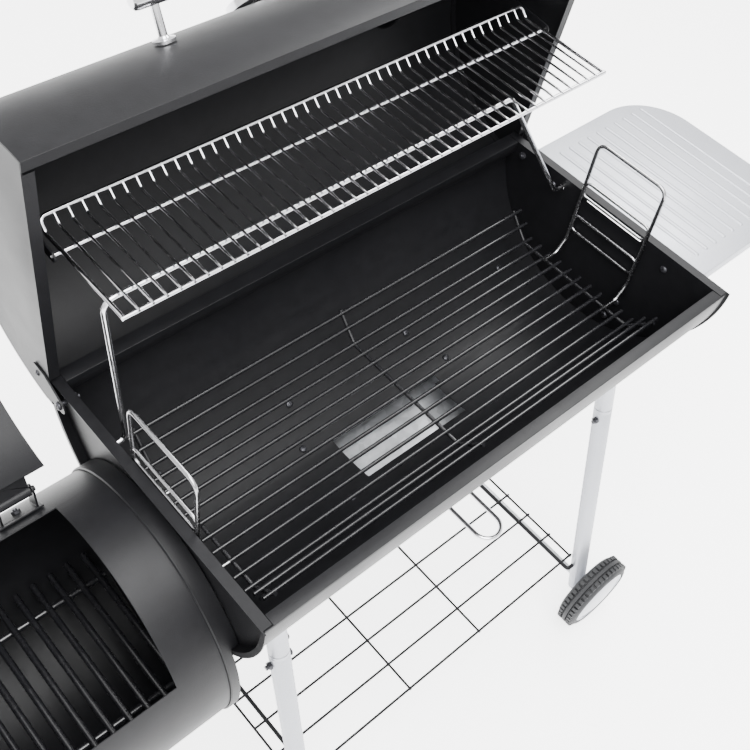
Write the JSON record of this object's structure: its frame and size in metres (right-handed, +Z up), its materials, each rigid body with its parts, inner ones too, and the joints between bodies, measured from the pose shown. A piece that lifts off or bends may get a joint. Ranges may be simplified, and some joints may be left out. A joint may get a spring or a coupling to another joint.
{
  "type": "barrel charcoal grill",
  "caption": "Barrel charcoal grill on splayed tube legs with wheels, hinged lid with folding warming rack, offset firebox, side shelf, wire shelf and sliding ash pan.",
  "frame": {"origin": "on the ground under the middle of the whole grill's box, with the lid and the firebox lid open", "axes": "+X along the barrel towards the side shelf, -Y towards the cook at the front, +Z up"},
  "size_m": [1.2752, 0.815, 1.0036],
  "materials": {
    "black_paint": "satin black heat-resistant paint",
    "wire_black": "satin black dipped wire",
    "chrome_wire": "bright plated wire",
    "silver_paint": "silver powder coat",
    "zinc": "galvanised sheet",
    "bolt_steel": "blackened bolts",
    "tyre": "dark grey tread",
    "hub": "silver plastic",
    "foot": "black plastic cap",
    "dial": "dial in a steel rim"
  },
  "bodies": {
    "grill": {"trough": "black_paint", "end_wall_left": "black_paint", "end_wall_right": "black_paint", "leg_stub_front_left": "silver_paint", "leg_stub_front_right": "silver_paint", "leg_stub_rear_left": "silver_paint", "leg_stub_rear_right": "silver_paint", "leg_front_left": "silver_paint", "leg_front_right": "silver_paint", "leg_rear_left": "silver_paint", "leg_rear_right": "silver_paint", "leg_bolt_front_left": "bolt_steel", "leg_bolt_front_right": "bolt_steel", "leg_bolt_rear_left": "bolt_steel", "leg_bolt_rear_right": "bolt_steel", "leg_foot_front": "foot", "leg_foot_rear": "foot", "bottom_shelf": "wire_black", "wheel_axle": "zinc", "side_shelf": "silver_paint", "shelf_bracket_front": "black_paint", "shelf_bracket_rear": "black_paint", "tool_hook": "wire_black", "ash_pan_rail_left": "black_paint", "ash_pan_rail_right": "black_paint", "hinge_bolt_left": "bolt_steel", "hinge_bolt_right": "bolt_steel", "firebox_shell": "black_paint", "firebox_collar": "black_paint", "firebox_ring": "black_paint", "firebox_end": "black_paint", "firebox_grate": "wire_black", "firebox_hinge_left": "black_paint", "firebox_hinge_right": "black_paint"},
    "lid": {"lid_sheet": "black_paint", "lid_end_left": "black_paint", "lid_end_right": "black_paint", "lid_hinge_plate_left": "black_paint", "lid_hinge_plate_right": "black_paint", "rack_hanger_left": "black_paint", "rack_hanger_right": "black_paint", "lid_handle": "chrome_wire", "thermometer": "dial", "chimney": "black_paint"},
    "chimney_cap": {"chimney_cap": "black_paint"},
    "warming_rack": {"warming_rack": "chrome_wire"},
    "rack_legs": {"rack_legs": "chrome_wire"},
    "charcoal_grate": {"charcoal_grate": "wire_black", "grate_handle_left": "chrome_wire", "grate_handle_right": "chrome_wire"},
    "ash_pan": {"ash_pan": "zinc"},
    "firebox_lid": {"firebox_lid": "black_paint", "firebox_lid_handle": "chrome_wire"},
    "firebox_vent": {"firebox_vent": "black_paint"},
    "wheel_front": {"wheel_front_tyre": "tyre", "wheel_front_hub": "hub"},
    "wheel_rear": {"wheel_rear_tyre": "tyre", "wheel_rear_hub": "hub"}
  },
  "joints": [
    {"name": "lid_hinge", "type": "hinge", "parent": "grill", "child": "lid", "pos_m": [0.0466, 0.001, 0.647], "axis": [1, 0, 0], "range_deg": [0, 85]},
    {"name": "rack_swing", "type": "hinge", "parent": "lid", "child": "warming_rack", "pos_m": [0.0466, 0.0155, 0.8348], "axis": [1, 0, 0], "range_deg": [-85, 0]},
    {"name": "rack_leg_swing", "type": "hinge", "parent": "grill", "child": "rack_legs", "pos_m": [0.0466, -0.07, 0.6445], "axis": [1, 0, 0], "range_deg": [0, 85]},
    {"name": "grate_lift", "type": "slide", "parent": "grill", "child": "charcoal_grate", "axis": [0, 0, 1], "range_m": [0, 0.056]},
    {"name": "ash_pan_slide", "type": "slide", "parent": "grill", "child": "ash_pan", "axis": [0, -1, 0], "range_m": [0, 0.16]},
    {"name": "firebox_lid_hinge", "type": "hinge", "parent": "grill", "child": "firebox_lid", "pos_m": [-0.4834, -0.0575, 0.629], "axis": [1, 0, 0], "range_deg": [0, 146]},
    {"name": "firebox_vent_turn", "type": "hinge", "parent": "grill", "child": "firebox_vent", "pos_m": [-0.6357, -0.1475, 0.445], "axis": [1, 0, 0], "range_deg": [-36, 36]},
    {"name": "chimney_cap_turn", "type": "hinge", "parent": "lid", "child": "chimney_cap", "pos_m": [0.2816, 0.39674, 0.87385], "axis": [0, 0.9962, 0.0872], "range_deg": [0, 110]},
    {"name": "wheel_front_spin", "type": "hinge", "parent": "grill", "child": "wheel_front", "pos_m": [0.3266, -0.388, 0.065], "axis": [0, 1, 0], "continuous": true},
    {"name": "wheel_rear_spin", "type": "hinge", "parent": "grill", "child": "wheel_rear", "pos_m": [0.3266, 0.093, 0.065], "axis": [0, 1, 0], "continuous": true}
  ],
  "couplings": [
    {"joint": "rack_swing", "follows": "lid_hinge", "ratio": -1},
    {"joint": "rack_leg_swing", "follows": "lid_hinge", "ratio": 1}
  ]
}
